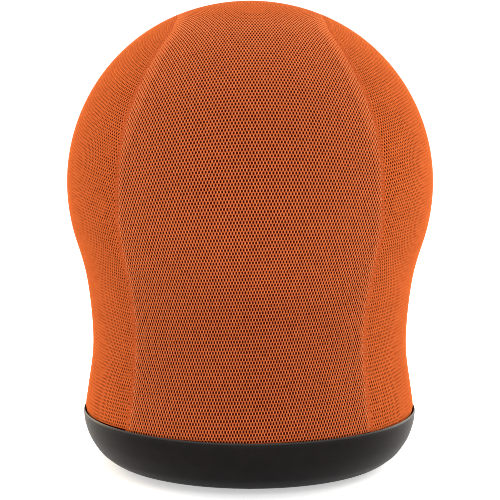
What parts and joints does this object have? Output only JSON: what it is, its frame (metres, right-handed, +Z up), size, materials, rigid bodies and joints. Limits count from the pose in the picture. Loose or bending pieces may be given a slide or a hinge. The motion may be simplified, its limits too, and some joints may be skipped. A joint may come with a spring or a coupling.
{
  "type": "balance ball chair",
  "caption": "Round balance ball seat: a fitness ball under a stretched three-panel mesh cover, on a steel frame that swivels inside a low moulded dish.",
  "frame": {"origin": "on the floor, on the chair's vertical axis, at the centre of the dish", "axes": "+Z up along the swivel axis, -Y towards the front of the cover's centre panel, +X towards the right-hand side panel"},
  "size_m": [0.471, 0.471, 0.6003],
  "materials": {
    "cover_mesh": "open air mesh of satin orange yarn over a dark lining",
    "hem_elastic": "woven elastic band",
    "ball_vinyl": "satin vinyl",
    "plug_plastic": "soft moulded stopper",
    "dish_plastic": "fine-grained charcoal moulding",
    "foot_rubber": "matte rubber",
    "pad_rubber": "foamed rubber sleeve",
    "frame_paint": "black powder coat",
    "zinc_steel": "zinc-plated steel",
    "bearing_steel": "polished bearing steel"
  },
  "bodies": {
    "base": {"base_dish": "dish_plastic", "foot_pad_1": "foot_rubber", "foot_pad_2": "foot_rubber", "foot_pad_3": "foot_rubber", "foot_pad_4": "foot_rubber", "foot_pad_5": "foot_rubber", "foot_pad_6": "foot_rubber", "base_plate": "frame_paint", "plate_screw_1": "zinc_steel", "plate_screw_2": "zinc_steel", "plate_screw_3": "zinc_steel", "plate_screw_4": "zinc_steel", "lower_race": "zinc_steel", "pivot_stud": "zinc_steel", "pivot_washer": "zinc_steel", "pivot_nut": "zinc_steel"},
    "cage": {"ball_cage": "bearing_steel"},
    "swivel": {"upper_race": "zinc_steel", "spider": "frame_paint", "leg_1": "frame_paint", "leg_2": "frame_paint", "leg_3": "frame_paint", "leg_4": "frame_paint", "leg_bolt_1": "zinc_steel", "leg_bolt_2": "zinc_steel", "leg_bolt_3": "zinc_steel", "leg_bolt_4": "zinc_steel", "lower_hoop": "frame_paint", "ball_ring": "frame_paint", "ring_pad": "pad_rubber", "hem_band": "hem_elastic"},
    "seat": {"exercise_ball": "ball_vinyl", "valve_plug": "plug_plastic", "cover_center_panel": "cover_mesh", "cover_side_panel_left": "cover_mesh", "cover_side_panel_right": "cover_mesh"}
  },
  "joints": [
    {"name": "seat_swivel", "type": "hinge", "parent": "base", "child": "swivel", "pos_m": [0, 0, 0.0152], "axis": [0, 0, 1], "continuous": true},
    {"name": "cage_spin", "type": "hinge", "parent": "base", "child": "cage", "pos_m": [0, 0, 0.0152], "axis": [0, 0, 1], "continuous": true},
    {"name": "seat_bounce", "type": "slide", "parent": "swivel", "child": "seat", "axis": [0, 0, 1], "range_m": [-0.05, 0], "stiffness_N_per_m": 12000, "springref_m": 0.004, "deforming": ["exercise_ball", "cover_center_panel", "cover_side_panel_left", "cover_side_panel_right"]}
  ],
  "couplings": [
    {"joint": "cage_spin", "follows": "seat_swivel", "ratio": 0.5}
  ]
}
